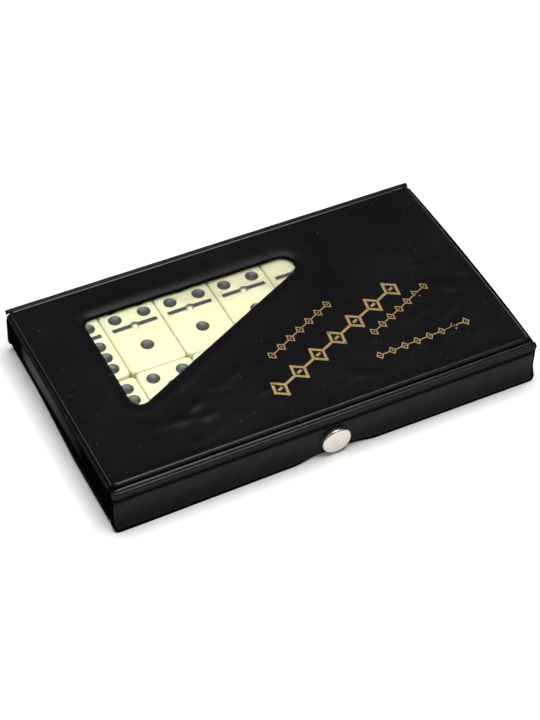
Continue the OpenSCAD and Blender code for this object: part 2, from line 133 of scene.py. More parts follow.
def mesh_object(name, verts, faces, material, crease=50, further=(), where=None):
    """A piece from points in millimetres. where tells, from the faces' middles, which of the further
    materials each gets, with 0 for the first."""
    mesh = bpy.data.meshes.new(name)
    mesh.from_pydata([tuple(v * MM for v in p) for p in verts], [], faces)
    mesh.update()
    mesh.shade_smooth()
    mesh.set_sharp_from_angle(angle=math.radians(crease))
    mesh.materials.append(material)
    for extra in further:
        mesh.materials.append(extra)
    if further:
        middles = np.array([np.mean([verts[i] for i in f], axis=0) for f in faces])
        mesh.polygons.foreach_set("material_index", where(middles).astype(np.int32))
    piece = bpy.data.objects.new(name, mesh)
    bpy.context.scene.collection.objects.link(piece)
    return piece


def place(points, matrix):
    """Points turned and moved by a matrix."""
    return [tuple(matrix @ Vector(p)) for p in points]


def hills(x, y, size, seed, octaves=2):
    """Smooth noise from -1 to 1 at each point; size is the width of a hill in millimetres."""
    out = np.empty(len(x))
    for i, (a, b) in enumerate(zip(x, y)):
        out[i] = noise.fractal((a / size, b / size, seed), 1.0, 2.0, octaves)
    return out


def folds(x, y, size, seed, angle, stretch):
    """Noise drawn out along a direction, for soft creases in vinyl."""
    c, s = math.cos(math.radians(angle)), math.sin(math.radians(angle))
    along, across = (x * c + y * s) / stretch, -x * s + y * c
    return hills(along, across, size, seed, 1)


def bump(x, y, at, reach):
    """1 at a place, falling to 0 at reach round it."""
    d = np.hypot(x - at[0], y - at[1]) / reach
    return np.clip(1 - d * d, 0, 1) ** 2


class Rounded:
    """A rectangle with round corners: its inside distance and its inset loops."""

    def __init__(self, low, high, corner):
        self.mid = (np.array(low) + np.array(high)) / 2
        self.half = (np.array(high) - np.array(low)) / 2
        self.corner = corner

    def inside(self, x, y):
        """Distance inside the edge, negative outside it."""
        q = np.stack([abs(x - self.mid[0]), abs(y - self.mid[1])], -1) - (self.half - self.corner)
        out = np.hypot(*np.maximum(q, 0).T)
        return self.corner - out - np.minimum(q.max(-1), 0)

    def loop(self, inset, spacing=2.0, corner_steps=6, counts=None):
        """Closed line at a distance inside the edge. counts gives the steps along x and along y."""
        half = self.half - inset
        r = max(self.corner - inset, 0.05)
        arcs = []
        for k, (sx, sy) in enumerate(((1, 1), (-1, 1), (-1, -1), (1, -1))):
            centre = self.mid + (half - r) * (sx, sy)
            turns = [math.radians(90 * k + 90 * i / corner_steps) for i in range(corner_steps + 1)]
            arcs.append([centre + r * np.array((math.cos(a), math.sin(a))) for a in turns])
        points = []
        for k, arc in enumerate(arcs):
            count = counts and counts[k % 2]
            points += arc + between(arc[-1], arcs[(k + 1) % 4][0], spacing, count)
        return np.array(points)


def between(a, b, spacing, count=None):
    """Points on a straight line, its two ends left out."""
    count = count or max(int(np.hypot(*(b - a)) / spacing), 1)
    return [a + (b - a) * i / count for i in range(1, count)]


def unit(degrees):
    """Direction at an angle."""
    return np.array((math.cos(math.radians(degrees)), math.sin(math.radians(degrees))))


def cross(a, b):
    """Above 0 where b lies anticlockwise of a."""
    return a[..., 0] * b[..., 1] - a[..., 1] * b[..., 0]


def straight(a, b, spacing=2.0):
    """Points on a straight line, both ends with it."""
    a, b = np.array(a), np.array(b)
    return np.array([a] + between(a, b, spacing) + [b])


def circle_loop(at, r, n):
    """n points round a circle."""
    turns = [2 * math.pi * i / n for i in range(n)]
    return np.array([(at[0] + r * math.cos(a), at[1] + r * math.sin(a)) for a in turns])


def smooth_line(points, rounds):
    """An open line with its corners cut, round after round, its two ends kept."""
    for _ in range(rounds):
        near = points[:-1] * 0.75 + points[1:] * 0.25
        far = points[:-1] * 0.25 + points[1:] * 0.75
        inner = np.stack([near, far], 1).reshape(-1, 2)
        points = np.vstack([points[:1], inner, points[-1:]])
    return points


class Window:
    """The lid's window: three round corners joined by straight edges."""

    def __init__(self):
        left, rear = FILM_LOW[0] + FILM_BORDER, FILM_HIGH[1] - FILM_BORDER
        angle = math.atan2(WINDOW_DEPTH, WINDOW_LENGTH)
        turn = 270 + math.degrees(angle)
        r, tip = WINDOW_CORNER, WINDOW_TIP
        front = rear - WINDOW_DEPTH + r / math.tan((math.pi / 2 - angle) / 2)
        self.arcs = [
            (np.array((left + r, rear - r)), r, 90, 180),
            (np.array((left + r, front)), r, 180, turn),
            (np.array((left + WINDOW_LENGTH - tip / math.tan(angle / 2), rear - tip)), tip, turn, 450),
        ]

    def outside(self, x, y):
        """Distance outside the opening's edge, negative inside it."""
        p = np.stack([x, y], -1)
        out = np.max([(p - centre) @ unit(end) - r for centre, r, _, end in self.arcs], axis=0)
        for centre, r, start, end in self.arcs:
            v = p - centre
            wedge = (cross(unit(start), v) > 0) & (cross(v, unit(end)) > 0)
            out = np.where(wedge, np.hypot(*v.T) - r, out)
        return out

    def loop(self, grow, spacing=1.6, corner_steps=10):
        """Closed line at a distance outside the opening's edge."""
        points = []
        for k, (centre, r, start, end) in enumerate(self.arcs):
            ahead, far, first, _ = self.arcs[(k + 1) % 3]
            turns = [start + (end - start) * i / corner_steps for i in range(corner_steps + 1)]
            points += [centre + (r + grow) * unit(a) for a in turns]
            points += between(points[-1], ahead + (far + grow) * unit(first), spacing)
        return np.array(points)


def triangulate(loops, spacing, clear, keep, lines=()):
    """Triangles through the points of closed loops and open lines, and a grid between them. clear
    and keep tell, from x and y, how far a grid point is from the nearest loop, and which triangles
    are kept."""
    low, high = loops[0].min(0), loops[0].max(0)
    steps = ((high - low) / spacing).astype(int) + 1
    gx, gy = np.meshgrid(*(np.linspace(l, h, n + 1) for l, h, n in zip(low, high, steps)))
    gx = gx + (np.arange(gx.shape[0]) % 2)[:, None] * spacing / 2
    grid = np.stack([gx.ravel(), gy.ravel()], -1)
    grid = grid[clear(grid[:, 0], grid[:, 1]) > spacing * 0.6]
    points, edges, start = [], [], 0
    for loop in loops:
        n = len(loop)
        points += [Vector(p) for p in loop]
        edges += [(start + i, start + (i + 1) % n) for i in range(n)]
        start += n
    for line in lines:
        points += [Vector(p) for p in line]
        edges += [(start + i, start + i + 1) for i in range(len(line) - 1)]
        start += len(line)
    points += [Vector(p) for p in grid]
    verts, _, faces, *_ = delaunay_2d_cdt(points, edges, [], 0, 1e-5)
    verts = np.array([tuple(v) for v in verts])
    faces = np.array([f for f in faces if len(f) == 3])
    middle = verts[faces].mean(1)
    faces = faces[keep(middle[:, 0], middle[:, 1])]
    a, b, c = verts[faces[:, 0]], verts[faces[:, 1]], verts[faces[:, 2]]
    back = cross(b - a, c - a) < 0
    faces[back] = faces[back][:, ::-1]
    return verts, faces


def envelope(name, verts, faces, top, bottom, matrix, material, warp=None, further=(), where=None):
    """Closed shell between two heights over one triangulation. warp moves its points, in place, the
    first half of which is the top."""
    used = np.unique(faces)
    index = np.full(len(verts), -1)
    index[used] = np.arange(len(used))
    verts, faces = verts[used], index[faces]
    x, y = verts[:, 0], verts[:, 1]
    n = len(verts)
    points = np.array(list(zip(x, y, top(x, y))) + list(zip(x, y, bottom(x, y))))
    if warp:
        warp(points)
    faces = [tuple(f) for f in faces.tolist()]
    edges = dict.fromkeys(edge for f in faces for edge in zip(f, f[1:] + f[:1]))
    shell = faces + [tuple(i + n for i in f[::-1]) for f in faces]
    shell += [(a, a + n, b + n, b) for a, b in edges if (b, a) not in edges]
    return mesh_object(name, place(points, matrix), shell, material, further=further, where=where)


def ridge(distance, width):
    """A bell of height 1 across a line."""
    return np.exp(-(distance / width) ** 2)


def rise(e, height, width):
    """Soft edge of a padded board: from 0 at e = 0 to height at e = width."""
    t = np.clip(e / width, 0, 1)
    return height * (1 - (1 - t) ** 2.3) ** (1 / 2.3)


def ring_faces(rings, n, closed=True):
    """Faces between rings of n points, the last ring joined to the first where closed."""
    faces = []
    for i in range(rings if closed else rings - 1):
        j = (i + 1) % rings
        for k in range(n):
            m = (k + 1) % n
            faces.append((i * n + k, i * n + m, j * n + m, j * n + k))
    return faces


def sweep(name, stations, section, material, further=(), where=None):
    """Tube along X: section(x) gives the same number of (y, z) points at each station."""
    rows = [section(x) for x in stations]
    n = len(rows[0])
    verts = [(x, p[0], p[1]) for x, row in zip(stations, rows) for p in row]
    faces = ring_faces(len(stations), n, closed=False)
    faces.append(tuple(range(n))[::-1])
    faces.append(tuple((len(stations) - 1) * n + j for j in range(n)))
    return mesh_object(name, verts, faces, material, 60, further, where)


# Materials


class Shader:
    """Short way to add and join shader nodes. Scales are counts to the metre, depths millimetres."""

    def __init__(self, name):
        self.material = bpy.data.materials.new(name)
        self.material.use_nodes = True
        self.nodes = self.material.node_tree.nodes
        self.links = self.material.node_tree.links
        self.nodes.clear()
        self.place = self.add("ShaderNodeTexCoord").outputs["Object"]

    def add(self, kind, **settings):
        node = self.nodes.new(kind)
        for key, value in settings.items():
            setattr(node, key, value)
        return node

    def feed(self, socket, value):
        if isinstance(value, bpy.types.NodeSocket):
            self.links.new(value, socket)
        else:
            socket.default_value = value

    def math(self, operation, *values, clamp=False):
        node = self.add("ShaderNodeMath", operation=operation, use_clamp=clamp)
        for socket, value in zip(node.inputs, values):
            self.feed(socket, value)
        return node.outputs[0]

    def noise(self, scale, detail=2.0, rough=0.5, warp=0.0, place=None):
        node = self.add("ShaderNodeTexNoise")
        self.feed(node.inputs["Vector"], place or self.place)
        node.inputs["Scale"].default_value = scale
        node.inputs["Detail"].default_value = detail
        node.inputs["Roughness"].default_value = rough
        node.inputs["Distortion"].default_value = warp
        return node.outputs["Fac"]

    def cells(self, scale, feature="F1", place=None):
        node = self.add("ShaderNodeTexVoronoi", feature=feature)
        self.feed(node.inputs["Vector"], place or self.place)
        node.inputs["Scale"].default_value = scale
        return node.outputs["Distance"]

    def ramp(self, value, low, high, a=0.0, b=1.0):
        node = self.add("ShaderNodeMapRange")
        node.inputs["From Min"].default_value = low
        node.inputs["From Max"].default_value = high
        node.inputs["To Min"].default_value = a
        node.inputs["To Max"].default_value = b
        self.feed(node.inputs["Value"], value)
        return node.outputs[0]

    def mix(self, factor, a, b):
        node = self.add("ShaderNodeMix", data_type="RGBA")
        self.feed(node.inputs["Factor"], factor)
        for socket, colour in ((node.inputs[6], a), (node.inputs[7], b)):
            self.feed(socket, colour if isinstance(colour, bpy.types.NodeSocket) else (*colour, 1))
        return node.outputs[2]

    def bump(self, height, depth, normal=None):
        node = self.add("ShaderNodeBump")
        node.inputs["Strength"].default_value = 1.0
        node.inputs["Distance"].default_value = depth * MM
        self.feed(node.inputs["Height"], height)
        if normal is not None:
            self.feed(node.inputs["Normal"], normal)
        return node.outputs["Normal"]

    def stretched(self, scale):
        node = self.add("ShaderNodeMapping")
        self.feed(node.inputs["Vector"], self.place)
        node.inputs["Scale"].default_value = scale
        return node.outputs["Vector"]

    def turned(self, scale, degrees):
        """Object coordinates turned in the lid's plane, then stretched."""
        turn = self.add("ShaderNodeMapping", vector_type="TEXTURE")
        self.feed(turn.inputs["Vector"], self.place)
        turn.inputs["Rotation"].default_value = (0, 0, math.radians(degrees))
        node = self.add("ShaderNodeMapping")
        self.feed(node.inputs["Vector"], turn.outputs["Vector"])
        node.inputs["Scale"].default_value = scale
        return node.outputs["Vector"]

    def surface(self, **inputs):
        node = self.add("ShaderNodeBsdfPrincipled")
        for key, value in inputs.items():
            socket = node.inputs[key.replace("_", " ")]
            if isinstance(value, tuple) and len(value) == 3 and socket.type == "RGBA":
                value = (*value, 1)
            self.feed(socket, value)
        return node.outputs["BSDF"]

    def finish(self, surface):
        output = self.add("ShaderNodeOutputMaterial")
        self.links.new(surface, output.inputs["Surface"])
        return self.material


def vinyl(name, tone, rough, grain, reflect):
    """Black vinyl sheet: fine grain, faint cloudy sheen, dust and hairline scratches."""
    s = Shader(name)
    pebble = s.cells(GRAIN)
    fine = s.noise(5200, 3.0, 0.6)
    cloud = s.noise(38, 3.0, 0.55)
    dusty = s.ramp(s.noise(90, 2.0), 0.48, 0.66)
    dust = s.math("MULTIPLY", s.ramp(s.cells(420), 0.10, 0.05), dusty)
    used = s.ramp(s.noise(30, 2.0), 0.58, 0.7)
    scratch = s.cells(60, "DISTANCE_TO_EDGE", s.stretched((1, 6, 1)))
    scratch = s.math("MULTIPLY", s.ramp(scratch, 0.006, 0.0), used)
    worn = s.math("MAXIMUM", dust, s.math("MULTIPLY", scratch, 0.35), clamp=True)
    base = s.mix(cloud, tuple(t * 0.8 for t in tone), tuple(t * 1.25 for t in tone))
    colour = s.mix(worn, base, DUST)
    gloss = s.ramp(cloud, 0.3, 0.7, rough - 0.05, rough + 0.07)
    crease = s.ramp(s.noise(95, 1.0, 0.5, 0.4, s.turned((1.0, 3.0, 2.2), 18)), 0.50, 0.80)
    crease = s.math("MULTIPLY", crease, s.ramp(s.noise(26, 1.0), 0.50, 0.64))
    normal = s.bump(pebble, 0.02 * grain)
    normal = s.bump(fine, 0.008 * grain, normal)
    normal = s.bump(s.noise(260, 2.0), 0.03, normal)
    normal = s.bump(crease, 0.10 * grain, normal)
    return s.finish(s.surface(Base_Color=colour, Roughness=gloss, Normal=normal,
                              Specular_IOR_Level=reflect))


def shaded_vinyl(name, dark, pale, heights, lengths=()):
    """Soft black sheet with a painted sheen: a pale band standing for a reflection over near-black
    painted
    shade, with no gloss of its own. heights and lengths are pairs of millimetres, upward and along Y:
    where the painted sheen starts and where it is full."""
    s = Shader(name)
    parts = s.add("ShaderNodeSeparateXYZ")
    s.feed(parts.inputs[0], s.place)
    painted_sheen = s.ramp(s.noise(46, 2.0), 0.25, 0.6, 0.75, 1.1)
    for axis, limits in ((2, heights), (1, lengths)):
        for start, full in limits:
            share = s.ramp(parts.outputs[axis], start * MM, full * MM)
            painted_sheen = s.math("MULTIPLY", painted_sheen, share)
    # Painted sheen where the mask is full, painted shade elsewhere.
    colour = s.mix(painted_sheen, (dark,) * 3, (pale, pale, pale * 1.01))
    normal = s.bump(s.noise(260, 2.0), 0.03, s.bump(s.cells(GRAIN), 0.01))
    return s.finish(s.surface(Base_Color=colour, Roughness=0.5, Normal=normal,
                              Specular_IOR_Level=0.0))


def clear_film():
    """Thin clear vinyl film, seen by its gloss alone."""
    s = Shader("clear_film")
    through = s.add("ShaderNodeBsdfTransparent")
    through.inputs["Color"].default_value = (0.985, 0.985, 0.975, 1)
    gloss = s.add("ShaderNodeBsdfGlossy")
    gloss.inputs["Color"].default_value = (1, 1, 1, 1)
    gloss.inputs["Roughness"].default_value = 0.06
    s.feed(gloss.inputs["Normal"], s.bump(s.noise(55, 2.0), 0.05))
    fresnel = s.add("ShaderNodeFresnel")
    fresnel.inputs["IOR"].default_value = 1.4
    mix = s.add("ShaderNodeMixShader")
    s.feed(mix.inputs[0], s.math("MULTIPLY", fresnel.outputs[0], 0.5))
    s.feed(mix.inputs[1], through.outputs[0])
    s.feed(mix.inputs[2], gloss.outputs[0])
    return s.finish(mix.outputs[0])


def domino_ivory(name, low, high):
    """Polished ivory resin. What lies below the upper face, clear of the tile's sides, is painted."""
    s = Shader(name)
    parts = s.add("ShaderNodeSeparateXYZ")
    s.feed(parts.inputs[0], s.place)
    x, y, z = parts.outputs
    margin = 1.5 * MM
    mid = (low + high) / 2 * MM
    half = (high - low) / 2 * MM
    from_mid = [s.math("ABSOLUTE", s.math("SUBTRACT", v, m)) for v, m in zip((x, y), mid)]
    inside, across = (s.math("LESS_THAN", d, h - margin) for d, h in zip(from_mid, half))
    depth = s.math("SUBTRACT", high[2] * MM, z)
    painted = s.ramp(depth, 0.012 * MM, 0.028 * MM)
    painted = s.math("MULTIPLY", painted, s.math("LESS_THAN", depth, half[2]))
    painted = s.math("MULTIPLY", painted, s.math("MULTIPLY", inside, across))
    cloud = s.noise(60, 3.0)
    ivory = s.mix(cloud, (0.92, 0.885, 0.60), (0.95, 0.93, 0.67))
    patchy = s.ramp(s.noise(620, 3.0), 0.4, 0.65)
    ink = s.mix(patchy, (0.044, 0.045, 0.048), (0.095, 0.096, 0.098))
    colour = s.mix(painted, ivory, ink)
    gloss = s.ramp(painted, 0, 1, 0.22, 0.36)
    normal = s.bump(s.noise(700, 2.0), 0.012)
    sub = s.ramp(painted, 0, 1, 0.9, 0.0)
    return s.finish(s.surface(Base_Color=colour, Roughness=gloss, Normal=normal, Subsurface_Weight=sub,
                              Subsurface_Radius=(5.5 * MM, 4.6 * MM, 2.6 * MM), Subsurface_Scale=1.0,
                              Specular_IOR_Level=0.5))


def metal(name, colour, rough, scratch_scale):
    """Plated or polished metal with fine lines from use."""
    s = Shader(name)
    lines = s.noise(scratch_scale, 3.0, 0.6, place=s.stretched((1, 9, 1)))
    spots = s.noise(400, 2.0)
    tone = s.mix(spots, tuple(c * 0.9 for c in colour), colour)
    gloss = s.ramp(lines, 0.3, 0.7, rough - 0.04, rough + 0.08)
    return s.finish(s.surface(Base_Color=tone, Metallic=1.0, Roughness=gloss,
                              Normal=s.bump(lines, 0.003)))


def gold_foil():
    """Hot-stamped foil that follows the vinyl's grain, thin in places."""
    s = Shader("gold_foil")
    wear = s.ramp(s.noise(1500, 3.0, 0.7), 0.30, 0.42)
    tone = s.mix(s.noise(300, 2.0), (0.29, 0.20, 0.080), (0.45, 0.33, 0.145))
    colour = s.mix(wear, (0.05, 0.04, 0.025), tone)
    normal = s.bump(s.cells(GRAIN), 0.02)
    return s.finish(s.surface(Base_Color=colour, Metallic=0.55, Roughness=0.42, Normal=normal))


def chipboard():
    """Pressed board with fibres and dark flecks."""
    s = Shader("chipboard")
    fibres = s.noise(700, 4.0, 0.7, place=s.stretched((1, 5, 5)))
    flecks = s.ramp(s.cells(500), 0.35, 0.2)
    tone = s.mix(fibres, (0.24, 0.185, 0.125), (0.42, 0.34, 0.25))
    colour = s.mix(s.math("MULTIPLY", flecks, 0.4), tone, (0.16, 0.12, 0.08))
    return s.finish(s.surface(Base_Color=colour, Roughness=0.85, Normal=s.bump(fibres, 0.05)))


def floor_paper():
    """Plain pale paper under the case."""
    s = Shader("floor_paper")
    tone = s.mix(s.noise(8, 2.0), (0.90, 0.90, 0.90), (0.92, 0.92, 0.92))
    normal = s.bump(s.noise(900, 2.0), 0.01)
    return s.finish(s.surface(Base_Color=tone, Roughness=0.75, Normal=normal))


OUTER = vinyl("outer_vinyl", (0.0050, 0.0050, 0.0057), 0.29, 1.0, 0.072)
WELDED = vinyl("welded_vinyl", (0.006, 0.006, 0.0065), 0.22, 0.35, 0.30)
# Painted shade: darker than the outer vinyl and without gloss, for the weld groove, the lid's front
# edge and flange sides, the window's turned edge and the flap's welded foot and ends.
PAINTED_SHADE_VINYL = vinyl("painted_shade_vinyl", (0.0025, 0.0025, 0.0027), 0.5, 0.5, 0.0)
ROLLED = vinyl("rolled_vinyl", (0.005, 0.005, 0.0055), 0.29, 0.4, 0.20)
# Painted shade in the tuck under the roll's bead: near black up to 2 mm above the roll's foot, grading
# to a pale painted sheen by 5.4 mm.
ROLL_FOOT = shaded_vinyl("roll_foot_vinyl", 0.0030, 0.034,
                         ((ROLL_LOW[2] + 2.0, ROLL_LOW[2] + 5.4),))
# Painted reflection on the tray's end walls: a pale band from 8 to 12.8 mm up, strongest near the rear
# and fading towards the front, over near-black painted shade at the walls' foot and under the lid's
# edge.
LINER = shaded_vinyl("liner_vinyl", 0.002, 0.105, ((5.0, 8.0), (16.0, 12.8)),
                     ((40, 28), (-22, 32)))
FILM = clear_film()
NICKEL = metal("nickel", (0.72, 0.67, 0.61), 0.30, 900)
BRASS = metal("brass", (0.60, 0.54, 0.37), 0.42, 1200)
FOIL = gold_foil()
BOARD = chipboard()


def paint(node, material):
    """Gives a CAD node its material."""
    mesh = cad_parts[node].data
    mesh.materials.clear()
    mesh.materials.append(material)


def finish_cad_nodes():
    """Materials for the CAD nodes that stay."""
    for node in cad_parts:
        if node.startswith("tile_"):
            low, high = box(node)
            paint(node, domino_ivory("ivory_" + node, low, high))
        elif node.endswith("_board"):
            paint(node, BOARD)
        elif node == "spinner_pins":
            paint(node, BRASS)
        elif node.startswith("snap_"):
            paint(node, NICKEL)


# Covers


WINDOW = Window()
LID_PANEL = Rounded((-PANEL_X, LID_LOW[1] + LID_LIP), (PANEL_X, LID_HIGH[1] + 5), BOARD_CORNER)
LID_OUTLINE = Rounded(LID_LOW[:2], LID_HIGH[:2], BOARD_CORNER / 2)
LID_REAR_WELD = LID_HIGH[1] - WELD_LINE
LID_WELD_LINE = Rounded((-PANEL_X + WELD_LINE, LID_LOW[1]), (PANEL_X - WELD_LINE, LID_REAR_WELD), 3.0)
FLANGE_TOP = LID_FLOOR + 2 * SKIN

# Soft ridges in the lid: place, reach, height, width and direction
LID_CREASES = (
    ((-46, -27), 24, 1.5, 4.2, 10),
    ((-20, -22), 18, 1.1, 4.6, 22),
    ((66, -24), 26, 1.0, 5.4, 28),
    ((80, -6), 16, 1.1, 4.6, -20),
    ((34, 34), 14, 1.2, 4.6, 30),
    ((-76, -8), 15, 0.7, 4.6, 70),
    ((20, -40), 22, 0.7, 4.6, 0),
)


def lid_top(x, y):
    """Height of the lid's upper face."""
    e = LID_PANEL.inside(x, y)
    w = WINDOW.outside(x, y)
    front = np.clip((LID_LOW[1] + 5 - y) / 3, 0, 1)
    z = FLANGE_TOP + rise(e, CASE_TOP + LID_SWELL - FLANGE_TOP, PUFF)
    z -= 0.12 * ridge(e + 0.25, 0.22) * (1 - front)
    z += 0.16 * ridge(LID_OUTLINE.inside(x, y) - 0.3, 0.35) * (e < 0) * (1 - front)
    z += (0.12 + 0.40 * front) * ridge(e - 1.5 - 0.4 * front, 0.8)
    z -= 0.26 * ridge(LID_WELD_LINE.inside(x, y), 0.35) * (y > 0) * (e > 0)
    flat = np.clip((e - PUFF) / 3, 0, 1) * np.clip((w - 1.5) / 4, 0, 1)
    z += flat * 0.10 * hills(x, y, 34, 3.1)
    z -= 0.12 * np.clip((e - 2.4) / 6, 0, 1)
    for at, reach, height, size, angle in LID_CREASES:
        crease = np.clip(folds(x, y, size, at[0] + 7.7, angle, 3.2), 0, 1)
        z += flat * height * bump(x, y, at, reach) * crease
    z += 0.22 * ridge(w - 4.4, 2.2)
    z -= WINDOW_SINK * np.exp(-np.maximum(w, 0) / 1.25)
    return z


def warp_lid(points):
    """The right end of the lid bows out a little, as soft sheet does between its corners."""
    along = np.clip((points[:, 1] - LID_LOW[1]) / (LID_HIGH[1] - LID_LOW[1]), 0, 1)
    near = np.clip((points[:, 0] - 80) / 12, 0, 1)
    points[:, 0] += 1.2 * near * np.sin(math.pi * along) ** 0.8
    points[:, 2] -= 0.25 * near ** 2 * np.sin(math.pi * along)


def lid_bottom(x, y):
    """Height of the lid's liner, slightly wavy."""
    e = LID_OUTLINE.inside(x, y)
    return LID_FLOOR + 0.05 * np.clip(e / 10, 0, 1) * (hills(x, y, 26, 9.0) - 0.8).clip(-1, 0)


def make_lid():
    """The lid's skin and liner, with its welds, its front crest and the opening."""
    steps = (0.08, 0.2, 0.4, 0.65, 0.95, 1.2, 1.5, 1.8, 2.2, 2.8)
    window_steps = (0.0, 0.12, 0.35, 0.7, 1.1, 1.6, 2.2, 2.9, 3.6, 4.4, 5.4)
    end_steps = (0.3, 0.7, 1.1, 1.35)
    weld_steps = (-0.6, -0.35, -0.15, 0.0, 0.15, 0.35, 0.6)
    loops = [LID_OUTLINE.loop(0)] + [WINDOW.loop(g) for g in window_steps]

    def clear(x, y):
        room = np.minimum(LID_PANEL.inside(x, y) - steps[-1], LID_REAR_WELD + weld_steps[0] - y)
        return np.minimum(room, WINDOW.outside(x, y) - window_steps[-1])

    def keep(x, y):
        return (LID_OUTLINE.inside(x, y) > 0) & (WINDOW.outside(x, y) > 0)

    low, high = LID_OUTLINE.mid - LID_OUTLINE.half, LID_OUTLINE.mid + LID_OUTLINE.half
    stop = LID_REAR_WELD - 0.9
    lines = []
    for d in steps:
        ring = LID_PANEL.loop(d, counts=(92, 54))
        lines.append(ring[ring[:, 1] < stop])
    for d in end_steps:
        for x in (low[0] + d, high[0] - d):
            lines.append(straight((x, low[1] + 1.2), (x, stop)))
    for d in weld_steps:
        level = LID_REAR_WELD + d
        lines.append(straight((low[0] + 0.3, level), (high[0] - 0.3, level)))
    verts, faces = triangulate(loops, 1.3, clear, keep, lines)

    def welds_and_painted_shade(middles):
        x, y = middles[:, 0], middles[:, 1]
        e = LID_PANEL.inside(x, y)
        welded, rolled, painted_shade = 1, 2, 3
        kind = np.where((e < 0.75) | (abs(y - LID_REAR_WELD) < 0.4), welded, 0)
        front = y < LID_LOW[1] + 3.2
        kind[front & (e > 0.5) & (e < 2.6)] = rolled
        # Painted shade: the lid's front edge down into the groove, and the flange's lower sides.
        kind[front & (e <= 0.5)] = painted_shade
        kind[(LID_OUTLINE.inside(x, y) < 0.05) & (middles[:, 2] < FLANGE_TOP)] = painted_shade
        return kind

    piece = envelope("lid_cover", verts, faces, lid_top, lid_bottom, Matrix.Identity(4), OUTER,
                     warp_lid, (WELDED, ROLLED, PAINTED_SHADE_VINYL), welds_and_painted_shade)
    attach(piece, "lid")
    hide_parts("lid_outer_skin", "lid_liner")


def flat_side(x, y):
    """The inner side of a panel, at height 0."""
    return 0 * x


def panel_cover(name, outline, panel, top, matrix, holes=(), **more):
    """Cover of one board: welded border, soft edges and an inner liner."""
    steps = (0.08, 0.22, 0.45, 0.75, 1.1, 1.6, 2.6)
    loops = [outline.loop(0)] + [panel.loop(d) for d in steps]
    loops += [ring for hole in holes for ring in hole["rings"]]

    def clear(x, y):
        room = panel.inside(x, y) - steps[-1]
        for hole in holes:
            room = np.minimum(room, np.hypot(x - hole["at"][0], y - hole["at"][1]) - hole["reach"])
        return room

    def keep(x, y):
        kept = outline.inside(x, y) > 0
        for hole in holes:
            kept &= np.hypot(x - hole["at"][0], y - hole["at"][1]) > hole["radius"]
        return kept

    verts, faces = triangulate(loops, 2.2, clear, keep)
    return envelope(name, verts, faces, top, flat_side, matrix, OUTER, **more)


def padded_top(outline, panel, height, seed, wave, creases=()):
    """Height of a padded panel over its welded border, for panel_cover."""
    border = 2 * SKIN

    def top(x, y):
        e = panel.inside(x, y)
        z = border + rise(e, height - border, PUFF)
        z -= 0.10 * ridge(e + 0.2, 0.2)
        z += 0.10 * ridge(outline.inside(x, y) - 0.25, 0.3) * (e < 0)
        flat = np.clip((e - PUFF) / 2.5, 0, 1)
        z += flat * wave * (hills(x, y, 24, seed) - 0.4)
        for at, reach, depth, angle in creases:
            z += flat * bump(x, y, at, reach) * depth * folds(x, y, 4.5, seed + 5, angle, 3.0)
        return z

    return top


def make_base():
    """The base's skin and liner."""
    outline = Rounded((BASE_LOW[0], -BASE_HIGH[1]), (BASE_HIGH[0], -BASE_LOW[1]), BOARD_CORNER / 2)
    panel = Rounded((-PANEL_X, -BASE_HIGH[1]), (PANEL_X, -BASE_LOW[1] - 0.5), BOARD_CORNER)
    shape = padded_top(outline, panel, BASE_CEILING, 21.0, 0.0)
    matrix = Matrix.Translation((0, 0, BASE_CEILING)) @ Matrix.Rotation(math.pi, 4, "X")

    def warp(points):
        """Towards the spine the base's sides draw in a little."""
        rear = np.clip((-points[:, 1] + 15) / 55, 0, 1)
        side = np.clip((abs(points[:, 0]) - BASE_BORDER[0]) / BASE_BORDER[1], 0, 1)
        points[:, 0] -= np.copysign(BASE_DRAW_IN * rear * side, points[:, 0])

    piece = panel_cover("base_cover", outline, panel, shape, matrix, warp=warp)
    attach(piece, "base")
    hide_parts("base_outer_skin", "base_liner")


def make_spine():
    """The spine's skin and liner."""
    z_mid = (SPINE_LOW[2] + SPINE_HIGH[2]) / 2
    half = (SPINE_HIGH[2] - SPINE_LOW[2]) / 2
    outline = Rounded((SPINE_LOW[0], -half), (SPINE_HIGH[0], half), 3.4)
    panel = Rounded((-PANEL_X, -half + SPINE_WELD), (PANEL_X, half - SPINE_WELD), 3.0)
    thick = SPINE_HIGH[1] - SPINE_INSIDE
    shape = padded_top(outline, panel, thick, 33.0, 0.06, [((0, 0), 60, 0.05, 90)])
    turn = Matrix.Rotation(-math.pi / 2, 4, "X")
    matrix = Matrix.Translation((0, SPINE_INSIDE, z_mid)) @ turn
    piece = panel_cover("spine_cover", outline, panel, shape, matrix)
    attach(piece, "spine")
    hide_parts("spine_outer_skin", "spine_liner")


# Soft folds in the flap: place, reach, depth and direction
FLAP_CREASES = (
    ((-84, 7), 22, 0.55, 55),
    ((-52, 6), 26, 0.45, 50),
    ((-22, 7), 22, 0.35, 60),
    ((30, 7), 26, 0.35, 120),
    ((62, 7), 30, 0.40, 115),
)


